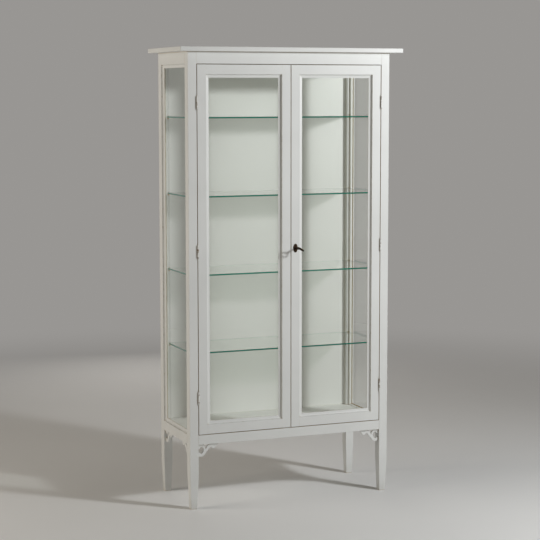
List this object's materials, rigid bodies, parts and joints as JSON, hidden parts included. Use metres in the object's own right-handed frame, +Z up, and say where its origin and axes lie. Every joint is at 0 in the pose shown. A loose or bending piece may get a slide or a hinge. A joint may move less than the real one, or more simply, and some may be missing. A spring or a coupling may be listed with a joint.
{
  "type": "display cabinet",
  "caption": "Tall white display cabinet on tapered legs with pierced corner brackets, glazed sides, two glazed hinged doors with lock and key, and glass shelves.",
  "frame": {"origin": "on the floor, under the middle of the bounding box, which reaches from the front of the key to the back edge of the top board", "axes": "+Z up, the doors face -Y, +X to the right seen from the front"},
  "size_m": [0.962, 0.443, 1.85],
  "materials": {
    "white_paint": "satin off-white paint on wood",
    "clear_glass": "clear polished float glass",
    "shelf_glass": "clear glass with dark green polished edges",
    "brass": "polished brass",
    "steel": "dull plated steel",
    "painted_steel": "steel hinges painted over with the case",
    "dark_bronze": "dark bronzed brass, a little worn"
  },
  "bodies": {
    "cabinet": {"top_board": "white_paint", "front_left_post": "white_paint", "front_right_post": "white_paint", "rear_left_post": "white_paint", "rear_right_post": "white_paint", "front_top_rail": "white_paint", "front_bottom_rail": "white_paint", "left_top_rail": "white_paint", "left_bottom_rail": "white_paint", "right_top_rail": "white_paint", "right_bottom_rail": "white_paint", "rear_top_rail": "white_paint", "rear_bottom_rail": "white_paint", "back_panel": "white_paint", "floor_board": "white_paint", "door_stop": "white_paint", "left_side_glass": "clear_glass", "right_side_glass": "clear_glass", "side_glazing_mouldings": "white_paint", "side_glazing_beads": "white_paint", "front_left_bracket": "white_paint", "front_right_bracket": "white_paint", "left_front_bracket": "white_paint", "left_rear_bracket": "white_paint", "right_front_bracket": "white_paint", "right_rear_bracket": "white_paint", "glass_shelf_1": "shelf_glass", "glass_shelf_2": "shelf_glass", "glass_shelf_3": "shelf_glass", "glass_shelf_4": "shelf_glass", "shelf_pins": "brass", "case_hinge_leaves": "painted_steel", "hinge_pins": "painted_steel", "case_hinge_screws": "steel"},
    "left_door": {"left_door_hinge_stile": "white_paint", "left_door_meeting_stile": "white_paint", "left_door_top_rail": "white_paint", "left_door_bottom_rail": "white_paint", "left_door_moulding": "white_paint", "left_door_beads": "white_paint", "left_door_glass": "clear_glass", "left_door_hinge_leaves": "painted_steel", "left_door_hinge_screws": "steel", "strike_plate": "steel", "bolt_guides": "steel"},
    "right_door": {"right_door_hinge_stile": "white_paint", "right_door_meeting_stile": "white_paint", "right_door_top_rail": "white_paint", "right_door_bottom_rail": "white_paint", "right_door_moulding": "white_paint", "right_door_beads": "white_paint", "right_door_glass": "clear_glass", "right_door_hinge_leaves": "painted_steel", "right_door_hinge_screws": "steel", "escutcheon": "dark_bronze", "lock_case": "steel"},
    "top_bolt": {"top_bolt": "steel"},
    "bottom_bolt": {"bottom_bolt": "steel"},
    "lock_bolt": {"lock_bolt": "steel"},
    "key": {"key": "dark_bronze"}
  },
  "joints": [
    {"name": "left_door_swing", "type": "hinge", "parent": "cabinet", "child": "left_door", "pos_m": [-0.40075, -0.1537, 1.0435], "axis": [0, 0, -1], "range_deg": [0, 170]},
    {"name": "right_door_swing", "type": "hinge", "parent": "cabinet", "child": "right_door", "pos_m": [0.40075, -0.1537, 1.0435], "axis": [0, 0, 1], "range_deg": [0, 170]},
    {"name": "key_turn", "type": "hinge", "parent": "right_door", "child": "key", "pos_m": [0.01975, -0.1505, 1.0435], "axis": [0, -1, 0], "range_deg": [0, 180]},
    {"name": "lock_bolt_throw", "type": "slide", "parent": "right_door", "child": "lock_bolt", "axis": [-1, 0, 0], "range_m": [0, 0.009]},
    {"name": "top_bolt_throw", "type": "slide", "parent": "left_door", "child": "top_bolt", "axis": [0, 0, 1], "range_m": [0, 0.012]},
    {"name": "bottom_bolt_throw", "type": "slide", "parent": "left_door", "child": "bottom_bolt", "axis": [0, 0, -1], "range_m": [0, 0.012]}
  ],
  "couplings": [
    {"joint": "lock_bolt_throw", "follows": "key_turn", "m_per_rad": 0.0028647}
  ]
}
